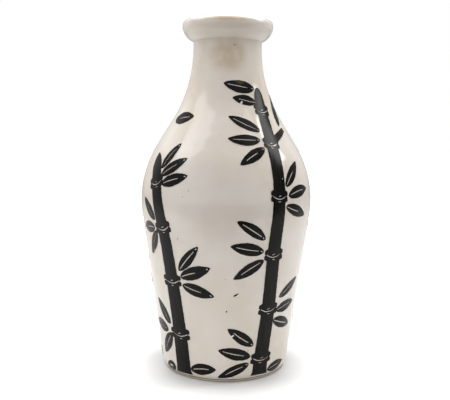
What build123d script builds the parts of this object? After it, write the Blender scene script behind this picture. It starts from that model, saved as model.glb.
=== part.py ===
from build123d import *
import os
from math import atan2, cos, degrees, radians, sin, tan
from typing import NamedTuple

# Bottle vase with a rolled lip, free-standing and painted with bamboo.
# The frame has +Z up the axis, the front at -Y and the origin at the middle of the foot.
# Clay sections meet on lapped joints. A cream coat covers the outside down to the bare foot and a
# glaze lines the inside. Black bamboo lies on the coat, with its rings and veins cut through to it.

# Outline of the coated vase, from the table up. Corners are where its straight runs would meet.
FOOT_RADIUS = 52.2
FOOT_BAND = 2.8
SKIRT_RADIUS = 53.6
HEEL_RADIUS = 55.2
HEEL_HEIGHT = 3.2
HEEL_ROUND = 8.0
BELLY_RADIUS = 77.3
BELLY_HEIGHT = 160.0
BELLY_ROUND = 87.0
SHOULDER_HEIGHT = 78.5
NECK_RADIUS = 29.3
NECK_ROUND = 117.0
NECK_HEIGHT = 37.5
LIP_HEIGHT = 18.0
LIP_OVERHANG = 9.4
LIP_ROLL = 4.6

# Wall, layers and the underside
WALL = 6.4
FLOOR = 8.0
FLOOR_ROUND = 10.0
COAT = 0.5
GLAZE = 0.4
PAINT = 0.3
FOOT_RING = 9.0
FOOT_RECESS = 1.5

# Joints between the clay sections
LAP = 4.0
BELLY_JOINT_SHARE = 0.5
NECK_JOINT_SHARE = 0.8

# Bamboo: stems, the rings scratched across them, leaves and their scratched veins
SHORT_STEM_WIDTH = 15.0
TALL_STEM_WIDTH = 14.2
STEM_TAPER_SHARE = 0.3
RING_WIDTH_SHARE = 1.36
RING_GAP = 1.7
RING_SAG = 2.6
SWELL_LENGTH = 7.0
SWELL_ROOM_SHARE = 0.45
DASH_SETBACK = 3.0
DASH_LENGTH = 4.5
DASH_WIDTH = 0.8
LEAF_LENGTH = 27.0
LEAF_WIDTH = 9.5
LEAF_WIDEST_SHARE = 0.46
VEIN_WIDTH = 0.8
VEIN_LENGTH_SHARE = 0.62
VEIN_SHIFT_SHARE = 0.06
TWIG_LENGTH = 20.0
TWIG_WIDTH = 6.2

# Working values: how far cuts run past the clay and painted shapes are pressed through the skin
OVERRUN = 5.0
PRESS = 9.0
ROUND_ROOM_SHARE = 0.98


class Joint(NamedTuple):
    """A lapped joint: the piece below keeps a tongue of one lap inside the radius."""

    radius: float
    level: float
    lap: float


class Leaf(NamedTuple):
    """A leaf, placed from its stem's node: shares are of the leaf's length and width, lean in degrees."""

    run_share: float
    rise_share: float
    lean: float
    length_share: float
    width_share: float


class Spray(NamedTuple):
    """Leaves on one side of a node: side 1 is to the right, seen from outside, and -1 to the left."""

    node: int
    side: int
    leaves: tuple


class Pattern(NamedTuple):
    """A stalk: its nodes from foot to tip as turn in degrees and share of the outline, and its leaves."""

    nodes: tuple
    sprays: tuple
    stem_width: float
    twig_node: int | None


SHORT_STALK = Pattern(
    nodes=((1.2, 0.005), (0.5, 0.128), (-2.2, 0.287), (-6.2, 0.44), (-13.4, 0.566), (-21.8, 0.652)),
    sprays=(
        Spray(0, -1, (Leaf(0.35, 0.13, -6, 0.52, 0.98),)),
        Spray(0, 1, (Leaf(0.3, 0.2, 6, 0.82, 1.08),)),
        Spray(1, -1, (Leaf(0.39, 0.24, 48, 0.97, 0.98), Leaf(0.54, -0.01, 14, 0.8, 1.02),
                      Leaf(0.38, -0.06, -57, 0.94, 1.08))),
        Spray(2, 1, (Leaf(0.32, 0.36, 48, 1.09, 0.96), Leaf(0.36, 0.16, 20, 1.07, 1.14),
                     Leaf(0.4, -0.08, -16, 1.04, 1.06))),
        Spray(3, -1, (Leaf(0.35, 0.19, 44, 0.92, 0.92), Leaf(0.4, -0.06, -2, 0.8, 1.05),
                      Leaf(0.32, -0.14, -60, 0.92, 0.95))),
        Spray(4, 1, (Leaf(0.11, 0.42, 64, 0.95, 0.86), Leaf(0.18, 0.21, 35, 1.01, 0.98),
                     Leaf(0.28, -0.06, 16, 0.98, 1.04))),
    ),
    stem_width=SHORT_STEM_WIDTH,
    twig_node=None,
)

TALL_STALK = Pattern(
    nodes=((0, 0.008), (0.2, 0.06), (2.2, 0.209), (2, 0.37), (3.3, 0.534), (6.4, 0.687),
           (10.8, 0.794), (13.1, 0.863)),
    sprays=(
        Spray(0, 1, (Leaf(0.34, 0.125, 8, 0.78, 0.9),)),
        Spray(1, -1, (Leaf(0.33, 0.46, 35, 1.04, 1.03), Leaf(0.39, 0.1, 14, 1.05, 1.1),
                      Leaf(0.42, -0.12, -26, 1.02, 0.94))),
        Spray(2, 1, (Leaf(0.4, 0.32, 27, 1.07, 0.88), Leaf(0.33, -0.1, 10, 0.94, 0.98),
                     Leaf(0.25, -0.4, -19, 0.92, 1.05))),
        Spray(3, -1, (Leaf(0.36, 0.49, 32, 1.1, 0.97), Leaf(0.37, 0.12, 11, 1.06, 1.1),
                      Leaf(0.35, -0.14, -32, 1.04, 1.0))),
        Spray(4, 1, (Leaf(0.29, 0.27, 47, 1.02, 0.95), Leaf(0.37, -0.01, 9, 1.07, 1.05),
                     Leaf(0.26, -0.31, -19, 1.05, 1.0))),
        Spray(5, -1, (Leaf(0.26, 0.42, 32, 0.96, 0.98), Leaf(0.37, 0.12, 3, 0.98, 1.05),
                      Leaf(0.33, -0.15, -30, 1.07, 1.0))),
        Spray(5, 1, (Leaf(0.74, 0.59, 74, 1.14, 0.8),)),
        Spray(6, -1, (Leaf(0.1, 0.7, 10, 0.97, 1.14), Leaf(0.18, 0.25, 12, 0.73, 0.95))),
    ),
    stem_width=TALL_STEM_WIDTH,
    twig_node=5,
)

TWIG = Leaf(0.22, 0.14, 27, TWIG_LENGTH / LEAF_LENGTH, TWIG_WIDTH / LEAF_WIDTH)

# Stalks round the vase, by the angle of the foot from the front, to the right seen from outside
STALKS = {
    "front_left": (SHORT_STALK, -39),
    "front_right": (TALL_STALK, 32),
    "back_right": (SHORT_STALK, 115),
    "back": (TALL_STALK, 181),
    "back_left": (SHORT_STALK, -109),
}

# One leaf on the shoulder stands clear of every stalk
SHOULDER_LEAF_ANGLE = -65
SHOULDER_LEAF_SHARE = 0.756
SHOULDER_LEAF = Leaf(0, 0.04, 9, 0.84, 1.2)

# Levels and corners that follow from the sizes
HEEL_LEVEL = FOOT_BAND + HEEL_HEIGHT
BELLY_LEVEL = HEEL_LEVEL + BELLY_HEIGHT
NECK_LEVEL = BELLY_LEVEL + SHOULDER_HEIGHT
CREASE_LEVEL = NECK_LEVEL + NECK_HEIGHT
TOP_LEVEL = CREASE_LEVEL + LIP_HEIGHT
CORNERS = [
    Vector(SKIRT_RADIUS, FOOT_BAND),
    Vector(HEEL_RADIUS, HEEL_LEVEL),
    Vector(BELLY_RADIUS, BELLY_LEVEL),
    Vector(NECK_RADIUS, NECK_LEVEL),
    Vector(NECK_RADIUS, CREASE_LEVEL),
]
CLEAR_RADIUS = BELLY_RADIUS + NECK_RADIUS

# The lip's roll and the mouth's flare are two arcs that touch, with both centres in the clay
ROLL_CENTRE = Vector(NECK_RADIUS + LIP_OVERHANG - LIP_ROLL, TOP_LEVEL - LIP_ROLL)
BORE_RADIUS = NECK_RADIUS - WALL
FLARE_DEPTH = ROLL_CENTRE.X - BORE_RADIUS
FLARE_RISE = ROLL_CENTRE.Y - CREASE_LEVEL
FLARE_RADIUS = (FLARE_DEPTH**2 + FLARE_RISE**2 - LIP_ROLL**2) / (2 * (FLARE_DEPTH - LIP_ROLL))
FLARE_CENTRE = Vector(BORE_RADIUS + FLARE_RADIUS, CREASE_LEVEL)
MOUTH_WAY = ROLL_CENTRE - FLARE_CENTRE
MOUTH_ANGLE = degrees(atan2(MOUTH_WAY.Y, MOUTH_WAY.X))


# Lines of the half section
def inward(start, end):
    """Return the unit direction square to a run of the outline, towards the axis."""
    along = (end - start).normalized()
    return Vector(-along.Y, along.X)


def at_level(start, end, level):
    """Return the point where the line through two points reaches a level."""
    return start + (end - start) * ((level - start.Y) / (end.Y - start.Y))


def moved_corners(depth):
    """Return the outline's corners moved in by a depth, with the lowest kept on its level."""
    ways = [inward(start, end) for start, end in zip(CORNERS, CORNERS[1:])]
    moved = []
    for corner, below, above in zip(CORNERS, ways[:1] + ways, ways + ways[-1:]):
        moved.append(corner + (below + above) * (depth / (1 + below.dot(above))))
    moved[0] = at_level(moved[0], moved[1], FOOT_BAND)
    return moved


def rounds_with_room(corners, rounds):
    """Return a line's corner rounds, each no larger than its two runs leave room for."""
    spans = [(end - start).length for start, end in zip(corners, corners[1:])]
    rooms = [spans[0]] + [span / 2 for span in spans[1:-1]] + [spans[-1]]
    radii = []
    for index, wanted in enumerate(rounds):
        before, corner, after = corners[index:index + 3]
        half_turn = radians((corner - before).get_angle(after - corner) / 2)
        room = ROUND_ROOM_SHARE * min(rooms[index:index + 2])
        radii.append(min(wanted, room / tan(half_turn)))
    return radii


def cavity_corners(spare):
    """Return the corners of the inside from the axis to the crease, moved into the clay by a spare depth."""
    corners = moved_corners(WALL - spare)
    floor_level = FLOOR - spare
    floor_corner = at_level(corners[1], corners[2], floor_level)
    return [Vector(0, floor_level), floor_corner] + corners[2:]


# Rounds of the body's and the inside's corners, from which every layer is moved by its depth
HEEL_FILLET, BELLY_FILLET, NECK_FILLET = rounds_with_room(CORNERS, (HEEL_ROUND, BELLY_ROUND, NECK_ROUND))
FLOOR_FILLET, INNER_BELLY_FILLET, INNER_NECK_FILLET = rounds_with_room(
    cavity_corners(0), (FLOOR_ROUND, BELLY_FILLET - WALL, NECK_FILLET + WALL)
)


def draw_side(depth):
    """Draw the body's side from the foot band to the crease, moved in by a depth."""
    rounds = [HEEL_FILLET - depth, BELLY_FILLET - depth, NECK_FILLET + depth]
    return FilletPolyline(*moved_corners(depth), radius=rounds)


def draw_lip(depth):
    """Draw the lip from the crease over the roll to the mouth's edge, moved in by a depth."""
    crease = moved_corners(depth)[-1]
    equator = ROLL_CENTRE + Vector(LIP_ROLL - depth, 0)
    TangentArc(equator, crease, tangent=(0, -1))
    return CenterArc(ROLL_CENTRE, LIP_ROLL - depth, 0, MOUTH_ANGLE)


def draw_cavity(spare):
    """Draw the inside from the axis to the mouth's edge, moved into the clay by a spare depth."""
    rounds = [FLOOR_FILLET + spare, INNER_BELLY_FILLET + spare, INNER_NECK_FILLET - spare]
    FilletPolyline(*cavity_corners(spare), radius=rounds)
    return CenterArc(FLARE_CENTRE, FLARE_RADIUS - spare, 180, MOUTH_ANGLE - 180)


def draw_clay():
    """Draw the half section of all the clay, under the coat and the glaze."""
    with BuildLine() as boundary:
        skirt = draw_side(COAT) @ 0
        outer_edge = draw_lip(COAT) @ 1
        inner_edge = draw_cavity(GLAZE) @ 1
        if (outer_edge - inner_edge).length > 0:
            Line(outer_edge, inner_edge)
        ring_inside = FOOT_RADIUS - FOOT_RING
        Polyline(skirt, (FOOT_RADIUS, 0), (ring_inside, 0), (ring_inside, FOOT_RECESS),
                 (0, FOOT_RECESS), (0, FLOOR - GLAZE))
    make_face(boundary.edges())


def draw_below(joint, mode):
    """Draw the half section under a lapped joint, to keep or to cut away."""
    tongue_level = joint.level + joint.lap
    with BuildLine() as boundary:
        Polyline((0, -OVERRUN), (CLEAR_RADIUS, -OVERRUN), (CLEAR_RADIUS, joint.level),
                 (joint.radius, joint.level), (joint.radius, tongue_level), (0, tongue_level), close=True)
    make_face(boundary.edges(), mode=mode)


with BuildLine() as side_line:
    draw_side(0)
OUTLINE = side_line.wire()


def wall_joint(share):
    """Return the lapped joint half way through the wall, at a share of the outline."""
    place = OUTLINE @ share
    half_wall = WALL / 2 / (OUTLINE % share).Y
    return Joint(place.X - half_wall, place.Y, LAP)


FLOOR_CORNER = cavity_corners(0)[1]
BASE_JOINT = Joint(FLOOR_CORNER.X - FLOOR_FILLET - GLAZE, FOOT_BAND, FLOOR)
BELLY_JOINT = wall_joint(BELLY_JOINT_SHARE)
NECK_JOINT = wall_joint(NECK_JOINT_SHARE)
LIP_JOINT = Joint(NECK_RADIUS - WALL / 2, CREASE_LEVEL, LAP)

# Clay sections
with BuildPart() as base_slab:
    with BuildSketch(Plane.XZ):
        draw_clay()
        draw_below(BASE_JOINT, Mode.INTERSECT)
    revolve(axis=Axis.Z)

with BuildPart() as lower_wall:
    with BuildSketch(Plane.XZ):
        draw_clay()
        draw_below(BELLY_JOINT, Mode.INTERSECT)
        draw_below(BASE_JOINT, Mode.SUBTRACT)
    revolve(axis=Axis.Z)

with BuildPart() as shoulder_wall:
    with BuildSketch(Plane.XZ):
        draw_clay()
        draw_below(NECK_JOINT, Mode.INTERSECT)
        draw_below(BELLY_JOINT, Mode.SUBTRACT)
    revolve(axis=Axis.Z)

with BuildPart() as neck:
    with BuildSketch(Plane.XZ):
        draw_clay()
        draw_below(LIP_JOINT, Mode.INTERSECT)
        draw_below(NECK_JOINT, Mode.SUBTRACT)
    revolve(axis=Axis.Z)

with BuildPart() as lip_roll:
    with BuildSketch(Plane.XZ):
        draw_clay()
        draw_below(LIP_JOINT, Mode.SUBTRACT)
    revolve(axis=Axis.Z)

# Coat over the outside and glaze over the inside, which meet at the mouth's edge
with BuildPart() as cream_coat:
    with BuildSketch(Plane.XZ):
        with BuildLine():
            outer_side = draw_side(0)
            outer_lip = draw_lip(0)
            inner_side = draw_side(COAT)
            inner_lip = draw_lip(COAT)
            Line(outer_side @ 0, inner_side @ 0)
            Line(outer_lip @ 1, inner_lip @ 1)
        make_face()
    revolve(axis=Axis.Z)

with BuildPart() as inner_glaze:
    with BuildSketch(Plane.XZ):
        with BuildLine():
            inner_flare = draw_cavity(0)
            outer_flare = draw_cavity(GLAZE)
            Line(inner_flare @ 1, outer_flare @ 1)
            Line((0, FLOOR), (0, FLOOR - GLAZE))
        make_face()
    revolve(axis=Axis.Z)

# Solid bodies as large as the coat and as the paint over it, between which the painted shapes lie
def draw_filled(depth):
    """Draw the half section of the body, filled to the axis, with its side moved in by a depth."""
    with BuildLine() as boundary:
        side = draw_side(depth)
        Polyline(side @ 1, (0, CREASE_LEVEL), (0, FOOT_BAND), side @ 0)
    make_face(boundary.edges())


with BuildPart() as coated_body:
    with BuildSketch(Plane.XZ):
        draw_filled(0)
    revolve(axis=Axis.Z)

with BuildPart() as painted_body:
    with BuildSketch(Plane.XZ):
        draw_filled(-PAINT)
    revolve(axis=Axis.Z)


# Places on the skin, as an angle from the front and a share of the outline
def moved_place(angle, share, run, rise):
    """Return the place reached by going round the body by a run and up it by a rise."""
    reached = share + rise / OUTLINE.length
    return angle + degrees(run / (OUTLINE @ reached).X), reached


def skin_plane(angle, share, turn):
    """Return a plane touching the coat, with Z outwards and X turned from level by an angle."""
    place = OUTLINE @ share
    along = OUTLINE % share
    level = Vector(1, 0, 0).rotate(Axis.Z, angle)
    outward = Vector(0, -along.Y, -along.X).rotate(Axis.Z, angle)
    upward = outward.cross(level)
    return Plane(
        origin=Vector(0, -place.X, place.Y).rotate(Axis.Z, angle),
        x_dir=level * cos(radians(turn)) + upward * sin(radians(turn)),
        z_dir=outward,
    )


def leaf_plane(angle, share, side, leaf):
    """Return the plane at a leaf's middle, with X from its base to its tip."""
    reach = LEAF_LENGTH * leaf.length_share / 2
    run = LEAF_LENGTH * leaf.run_share + reach * cos(radians(leaf.lean))
    rise = LEAF_LENGTH * leaf.rise_share + reach * sin(radians(leaf.lean))
    turn = leaf.lean if side > 0 else 180 - leaf.lean
    return skin_plane(*moved_place(angle, share, side * run, rise), turn)


def stem_plane(lower, upper):
    """Return the plane half way between two nodes, with X from the lower to the upper, and their distance."""
    angle = (lower[0] + upper[0]) / 2
    share = (lower[1] + upper[1]) / 2
    run = radians(upper[0] - lower[0]) * (OUTLINE @ share).X
    rise = (upper[1] - lower[1]) * OUTLINE.length
    way = Vector(run, rise)
    return skin_plane(angle, share, degrees(atan2(rise, run))), way.length


# Painted shapes, drawn about the middle of their sketch with X along them
def draw_leaf(leaf):
    """Draw a leaf of arcs that meet at its widest place, with its vein cut out."""
    length = LEAF_LENGTH * leaf.length_share
    half = LEAF_WIDTH * leaf.width_share / 2
    base, tip = -length / 2, length / 2
    widest = base + length * LEAF_WIDEST_SHARE
    with BuildLine() as boundary:
        for side in (half, -half):
            TangentArc((widest, side), (base, 0), tangent=(-1, 0))
            TangentArc((widest, side), (tip, 0), tangent=(1, 0))
    make_face(boundary.edges())
    with Locations((length * VEIN_SHIFT_SHARE, 0)):
        SlotOverall(length * VEIN_LENGTH_SHARE, VEIN_WIDTH, mode=Mode.SUBTRACT)


def draw_twig(leaf):
    """Draw a twig as a tapered strip."""
    length = LEAF_LENGTH * leaf.length_share
    half = LEAF_WIDTH * leaf.width_share / 2
    with BuildLine() as boundary:
        Polyline((length / 2, half / 2), (-length / 2, half), (-length / 2, -half), (length / 2, -half / 2),
                 close=True)
    make_face(boundary.edges())


def tapered(width, share):
    """Return a stem's width at a share of the outline from its width at the foot."""
    return width * (1 - STEM_TAPER_SHARE * share)


def draw_swell(end, way, ring, stem, room):
    """Draw both sides of a stem's swollen end, from its ring to the plain stem."""
    plain = end + way * min(SWELL_LENGTH, room * SWELL_ROOM_SHARE)
    for side in (1, -1):
        TangentArc((plain, side * stem), (end, side * ring), tangent=(-way, 0))
    return plain


def draw_dash(place):
    """Cut a short scratch across a stem."""
    with Locations((place, 0)):
        SlotOverall(DASH_LENGTH, DASH_WIDTH, rotation=90, mode=Mode.SUBTRACT)


def draw_internode(span, lower_width, upper_width):
    """Draw a length of stem between two rings, swollen at both, with a dash at each end."""
    length = span - RING_GAP
    bottom, top = -length / 2, length / 2
    lower_stem, upper_stem = lower_width / 2, upper_width / 2
    lower_ring, upper_ring = lower_stem * RING_WIDTH_SHARE, upper_stem * RING_WIDTH_SHARE
    with BuildLine() as boundary:
        ThreePointArc((bottom, lower_ring), (bottom - RING_SAG, 0), (bottom, -lower_ring))
        low = draw_swell(bottom, 1, lower_ring, lower_stem, length)
        high = draw_swell(top, -1, upper_ring, upper_stem, length)
        for side in (1, -1):
            Line((low, side * lower_stem), (high, side * upper_stem))
        ThreePointArc((top, upper_ring), (top - RING_SAG, 0), (top, -upper_ring))
    make_face(boundary.edges())
    draw_dash(bottom + DASH_SETBACK)
    draw_dash(top - RING_SAG - DASH_SETBACK)


def draw_shoot(span, width):
    """Draw a stem's last length, from its ring to a round tip."""
    length = span - RING_GAP / 2
    bottom, top = -length / 2, length / 2
    stem = width / 2
    ring = stem * RING_WIDTH_SHARE
    with BuildLine() as boundary:
        ThreePointArc((bottom, ring), (bottom - RING_SAG, 0), (bottom, -ring))
        low = draw_swell(bottom, 1, ring, stem, length)
        for side in (1, -1):
            TangentArc((low, side * stem), (top, 0), tangent=(1, 0))
    make_face(boundary.edges())
    draw_dash(bottom + DASH_SETBACK)


def painted(plane, draw, *sizes):
    """Return a drawn shape as one patch of paint, pressed through the skin along its plane's normal."""
    with BuildPart() as patch:
        with BuildSketch(plane):
            draw(*sizes)
        extrude(amount=PRESS, both=True)
        add(painted_body.part, mode=Mode.INTERSECT)
        add(coated_body.part, mode=Mode.SUBTRACT)
    return patch.part


def stem_patches(nodes, width, twig_node):
    """Return the lengths of a stalk's stem, from foot to tip, and its twig."""
    patches = []
    for lower, upper in zip(nodes[:-2], nodes[1:-1]):
        plane, span = stem_plane(lower, upper)
        widths = tapered(width, lower[1]), tapered(width, upper[1])
        patches.append(painted(plane, draw_internode, span, *widths))
    plane, span = stem_plane(nodes[-2], nodes[-1])
    patches.append(painted(plane, draw_shoot, span, tapered(width, nodes[-1][1])))
    if twig_node is not None:
        patches.append(painted(leaf_plane(*nodes[twig_node], 1, TWIG), draw_twig, TWIG))
    return patches


def leaf_patches(nodes, sprays):
    """Return the leaves of a stalk."""
    patches = []
    for spray in sprays:
        for leaf in spray.leaves:
            plane = leaf_plane(*nodes[spray.node], spray.side, leaf)
            patches.append(painted(plane, draw_leaf, leaf))
    return patches


pieces = {
    "base_slab": base_slab.part,
    "lower_wall": lower_wall.part,
    "shoulder_wall": shoulder_wall.part,
    "neck": neck.part,
    "lip_roll": lip_roll.part,
    "cream_coat": cream_coat.part,
    "inner_glaze": inner_glaze.part,
}

# Bamboo: each stalk's stem and its leaves
for stalk_name, (pattern, foot_angle) in STALKS.items():
    stalk_nodes = [(foot_angle + turn, share) for turn, share in pattern.nodes]
    stems = stem_patches(stalk_nodes, pattern.stem_width, pattern.twig_node)
    blades = leaf_patches(stalk_nodes, pattern.sprays)
    with BuildPart() as culm:
        add(stems)
    with BuildPart() as leaves:
        add(blades)
    pieces[f"{stalk_name}_culm"] = culm.part
    pieces[f"{stalk_name}_leaves"] = leaves.part

shoulder_plane = leaf_plane(SHOULDER_LEAF_ANGLE, SHOULDER_LEAF_SHARE, 1, SHOULDER_LEAF)
shoulder_blade = painted(shoulder_plane, draw_leaf, SHOULDER_LEAF)
with BuildPart() as shoulder_leaf:
    add(shoulder_blade)
pieces["shoulder_leaf"] = shoulder_leaf.part

os.makedirs("parts", exist_ok=True)
for name, piece in pieces.items():
    piece.label = name
    export_step(piece, f"parts/{name}.step")
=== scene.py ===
"""A cream bottle vase painted with black bamboo, standing on a white studio floor."""

import logging
import math
import random
from bisect import bisect_right
from dataclasses import dataclass
from enum import Enum
from typing import Any, Callable, Mapping, Sequence

import bpy
from mathutils import Matrix, Vector


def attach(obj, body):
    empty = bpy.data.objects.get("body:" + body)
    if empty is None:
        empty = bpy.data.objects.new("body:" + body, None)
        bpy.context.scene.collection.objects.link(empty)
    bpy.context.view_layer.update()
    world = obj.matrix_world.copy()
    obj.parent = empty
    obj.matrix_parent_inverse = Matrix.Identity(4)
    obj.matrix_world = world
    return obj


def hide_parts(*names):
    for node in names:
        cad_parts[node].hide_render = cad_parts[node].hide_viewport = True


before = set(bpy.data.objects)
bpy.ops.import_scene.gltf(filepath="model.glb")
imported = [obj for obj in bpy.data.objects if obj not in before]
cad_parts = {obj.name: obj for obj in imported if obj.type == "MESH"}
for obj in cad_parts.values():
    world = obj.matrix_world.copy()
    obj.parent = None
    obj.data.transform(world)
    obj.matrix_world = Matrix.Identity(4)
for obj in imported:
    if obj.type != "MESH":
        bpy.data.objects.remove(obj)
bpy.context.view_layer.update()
LOG = logging.getLogger("bottle_vase")
BODY = "root"
WHITE = "FFFFFF"
Pair = tuple[float, float]
Point = tuple[float, float, float]
Socket = bpy.types.NodeSocket
Material = bpy.types.Material
Object = bpy.types.Object


def mm(length: float) -> float:
    """Return a length in millimetres as metres."""
    return length / 1000.0


def per_mm(size: float) -> float:
    """Return the texture scale whose pattern is so many millimetres wide."""
    return 1000.0 / size


def linear(colour: str) -> tuple[float, float, float, float]:
    """Turn an sRGB hex colour into linear light.

    Args:
        colour: six hex digits, red first.

    Returns:
        Red, green, blue and an alpha of 1.
    """
    shares = [int(colour[at:at + 2], 16) / 255.0 for at in (0, 2, 4)]
    light = [share / 12.92 if share <= 0.04045 else ((share + 0.055) / 1.055) ** 2.4 for share in shares]
    return light[0], light[1], light[2], 1.0


# Finishes


@dataclass(frozen=True)
class Relief:
    """An uneven surface: its pattern's size in millimetres, how strongly it shows and its depth."""

    size: float
    strength: float
    depth: float


class Graph:
    """A node tree written step by step, each step giving the socket that the next one takes."""

    SHEEN = (0.3, 0.7)

    def __init__(self, tree: bpy.types.NodeTree) -> None:
        """Empty a node tree, to write in it."""
        self.tree = tree
        tree.nodes.clear()

    def node(self, kind: str, inputs: Mapping[str | int, Any], **settings: Any) -> bpy.types.Node:
        """Add a node with its settings and links.

        Args:
            kind: the node type's name without its prefix.
            inputs: values, or sockets to link from, by input name or index.
            settings: property values by name.

        Returns:
            The new node.
        """
        made = self.tree.nodes.new("ShaderNode" + kind)
        for name, value in settings.items():
            setattr(made, name, value)
        for name, value in inputs.items():
            if isinstance(value, Socket):
                self.tree.links.new(value, made.inputs[name])
            else:
                made.inputs[name].default_value = value
        return made

    def place(self, space: str = "Object") -> Socket:
        """Return the place that is shaded."""
        return self.node("TexCoord", {}).outputs[space]

    def noise(self, place: Socket, size: float, detail: float) -> Socket:
        """Return a cloudy pattern so many millimetres wide."""
        made = self.node("TexNoise", {"Vector": place, "Scale": per_mm(size), "Detail": detail})
        return made.outputs["Fac"]

    def ramp(self, value: Socket, span: Pair, result: Pair = (0.0, 1.0), soft: bool = False) -> Socket:
        """Turn a value in one span into a value in another.

        Args:
            value: what is turned.
            span: the two values that it goes between.
            result: what it becomes at those two.
            soft: whether its ends are eased.

        Returns:
            The turned value.
        """
        ends = {"From Min": span[0], "From Max": span[1], "To Min": result[0], "To Max": result[1]}
        kind = "SMOOTHSTEP" if soft else "LINEAR"
        return self.node("MapRange", {"Value": value, **ends}, interpolation_type=kind).outputs["Result"]

    def by_level(self, place: Socket, span: Pair, result: Pair) -> Socket:
        """Return a value that eases from one to another between two levels in millimetres."""
        level = self.node("SeparateXYZ", {"Vector": place}).outputs["Z"]
        return self.ramp(level, (mm(span[0]), mm(span[1])), result, soft=True)

    def by_distance(self, place: Socket, span: Pair, result: Pair) -> Socket:
        """Return a value that eases from one to another between two distances in millimetres."""
        off = self.node("VectorMath", {0: place}, operation="LENGTH").outputs["Value"]
        return self.ramp(off, (mm(span[0]), mm(span[1])), result, soft=True)

    def math(self, operation: str, *values: Socket | float) -> Socket:
        """Return the outcome of a sum."""
        return self.node("Math", dict(enumerate(values)), operation=operation).outputs["Value"]

    def mix(self, share: Socket, first: Socket | str, second: str) -> Socket:
        """Return a colour between two, of which the second is a hex colour and the first may be one."""
        base = linear(first) if isinstance(first, str) else first
        return self.node("Mix", {"Factor": share, 6: base, 7: linear(second)}, data_type="RGBA").outputs[2]

    def sheen(self, pattern: Socket, roughness: float, drift: float) -> Socket:
        """Return a roughness that drifts with a pattern."""
        return self.ramp(pattern, self.SHEEN, (roughness, roughness + drift))

    def bump(self, height: Socket, relief: Relief, under: Socket | None = None) -> Socket:
        """Return the normal of a relief, which may lie over another."""
        inputs: dict[str | int, Any] = {
            "Height": height, "Strength": relief.strength, "Distance": mm(relief.depth)}
        if under is not None:
            inputs["Normal"] = under
        return self.node("Bump", inputs).outputs["Normal"]

    def seen(self) -> Socket:
        """Return 1 where the camera itself looks and 0 for all other light."""
        return self.node("LightPath", {}).outputs["Is Camera Ray"]

    def surface(self, inputs: Mapping[str | int, Any]) -> None:
        """End the tree with a surface of these properties."""
        shader = self.node("BsdfPrincipled", inputs)
        self.node("OutputMaterial", {"Surface": shader.outputs["BSDF"]})


def new_material(name: str) -> tuple[Material, Graph]:
    """Return a new material of that name, and its empty tree."""
    made = bpy.data.materials.new(name)
    made.use_nodes = True
    return made, Graph(made.node_tree)


@dataclass(frozen=True)
class SoftPatch:
    """A soft patch of colour, for tint with painted shade and for painted reflection: its middle, how much
    each way is squashed, and its size, in millimetres.
    """

    place: Point
    squash: Point
    core: float
    reach: float

    def spread(self, graph: Graph, place: Socket) -> Socket:
        """Return a value that is 1 in the patch's middle and 0 outside it."""
        moved = [-mm(middle) * ratio for middle, ratio in zip(self.place, self.squash)]
        local = graph.node("Mapping", {"Vector": place, "Location": moved, "Scale": self.squash})
        return graph.by_distance(local.outputs["Vector"], (self.core, self.reach), (1.0, 0.0))


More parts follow.
